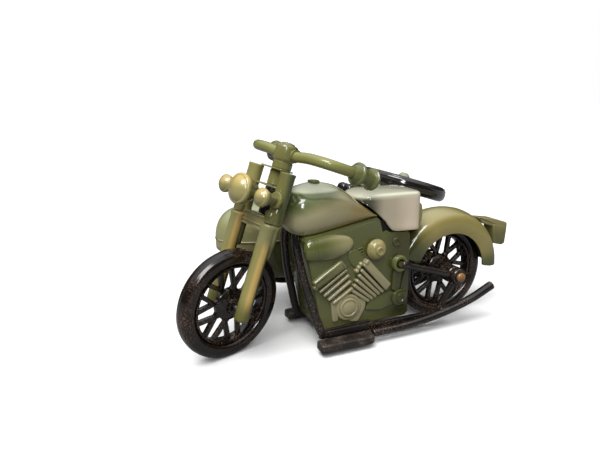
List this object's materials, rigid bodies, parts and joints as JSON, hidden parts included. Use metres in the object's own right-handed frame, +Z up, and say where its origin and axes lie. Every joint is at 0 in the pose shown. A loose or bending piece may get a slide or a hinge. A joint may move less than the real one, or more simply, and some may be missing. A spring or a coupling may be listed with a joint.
{
  "type": "toy motorcycle with sidecar",
  "caption": "Glossy painted wind-up toy motorcycle with a sidecar, steering fork, spoked wheels and a small clockwork that drives the rear wheel by belt",
  "frame": {"origin": "on the floor, under the middle of the toy's bounding box", "axes": "+X to the rear of the machine, +Y to the rider's right, +Z up; the front fork is turned 20 degrees to the left at rest"},
  "size_m": [0.2146, 0.113, 0.1119],
  "materials": {
    "olive_paint": "glossy olive green enamel",
    "sage_paint": "glossy pale sage enamel shaded to tan",
    "tan_paint": "glossy tan yellow enamel",
    "saddle_paint": "glossy silver beige enamel",
    "black_frame": "glossy black enamel dusted with brown",
    "tyre": "moulded black with a brown sheen",
    "belt_rubber": "plain black rubber",
    "copper_paint": "copper-coloured metal",
    "steel": "plain drawn steel",
    "brass": "plain stamped brass"
  },
  "bodies": {
    "chassis": {"casing_left": "olive_paint", "casing_right": "olive_paint", "fuel_tank": "sage_paint", "fuel_cap": "olive_paint", "saddle": "saddle_paint", "headstock": "black_frame", "frame_cradle_left": "black_frame", "frame_cradle_right": "black_frame", "footboard_left": "black_frame", "footboard_right": "black_frame", "exhaust_left": "black_frame", "exhaust_right": "black_frame", "rear_stay_left": "black_frame", "rear_stay_right": "black_frame", "axle_housing_left": "black_frame", "axle_housing_right": "black_frame", "rear_fender": "sage_paint", "tail_lamp": "olive_paint", "motor_plate_left": "steel", "motor_plate_right": "steel", "mainspring": "steel", "drive_belt": "belt_rubber", "sidecar_tub": "olive_paint", "sidecar_cowl": "sage_paint", "sidecar_seat": "black_frame", "sidecar_frame": "black_frame", "sidecar_fender": "olive_paint", "spare_wheel": "tyre", "spare_knob": "sage_paint"},
    "fork": {"fork_leg_left": "tan_paint", "fork_leg_right": "tan_paint", "fork_tube_left": "olive_paint", "fork_tube_right": "olive_paint", "lower_clamp_plate": "olive_paint", "upper_clamp_plate": "olive_paint", "fork_bridge": "tan_paint", "steering_stem": "olive_paint", "handlebar": "olive_paint", "grip_left": "olive_paint", "grip_right": "olive_paint", "lamp_bar": "olive_paint", "headlamp": "tan_paint", "spot_lamp_left": "olive_paint", "spot_lamp_right": "olive_paint", "front_axle": "copper_paint"},
    "front_wheel_set": {"front_wheel": "black_frame", "front_tyre": "tyre"},
    "rear_wheel_set": {"rear_wheel": "black_frame", "rear_tyre": "tyre", "rear_axle": "copper_paint", "rear_pulley": "brass"},
    "sidecar_wheel_set": {"sidecar_wheel": "black_frame", "sidecar_tyre": "tyre"},
    "winder": {"winding_knob": "olive_paint", "winding_arbor": "steel"},
    "great_gear": {"great_wheel": "brass"},
    "second_gear": {"second_wheel": "brass"},
    "output_gear": {"output_shaft": "brass"}
  },
  "joints": [
    {"name": "steering", "type": "hinge", "parent": "chassis", "child": "fork", "pos_m": [-0.07133, -0.028, 0.02739], "axis": [0.319, 0, 0.9478], "range_deg": [-50, 10]},
    {"name": "front_wheel_spin", "type": "hinge", "parent": "fork", "child": "front_wheel_set", "pos_m": [-0.07863, -0.0308, 0.02985], "axis": [-0.3242, 0.9397, 0.1091], "continuous": true},
    {"name": "rear_wheel_spin", "type": "hinge", "parent": "chassis", "child": "rear_wheel_set", "pos_m": [0.0572, -0.028, 0.03], "axis": [0, 1, 0], "continuous": true},
    {"name": "sidecar_wheel_spin", "type": "hinge", "parent": "chassis", "child": "sidecar_wheel_set", "pos_m": [0.0389, 0.0485, 0.03], "axis": [0, 1, 0], "continuous": true},
    {"name": "winding_knob_turn", "type": "hinge", "parent": "chassis", "child": "winder", "pos_m": [0.0009, -0.028, 0.0534], "axis": [0, 1, 0], "range_deg": [0, 1440]},
    {"name": "great_wheel_spin", "type": "hinge", "parent": "chassis", "child": "great_gear", "pos_m": [0.0009, -0.028, 0.0534], "axis": [0, 1, 0], "continuous": true},
    {"name": "second_wheel_spin", "type": "hinge", "parent": "chassis", "child": "second_gear", "pos_m": [-0.0111, -0.028, 0.04136], "axis": [0, 1, 0], "continuous": true},
    {"name": "output_shaft_spin", "type": "hinge", "parent": "chassis", "child": "output_gear", "pos_m": [0.0009, -0.028, 0.03078], "axis": [0, 1, 0], "continuous": true}
  ],
  "couplings": [
    {"joint": "output_shaft_spin", "follows": "rear_wheel_spin", "ratio": 1.566},
    {"joint": "second_wheel_spin", "follows": "rear_wheel_spin", "ratio": -0.71184},
    {"joint": "great_wheel_spin", "follows": "rear_wheel_spin", "ratio": 0.2966}
  ]
}
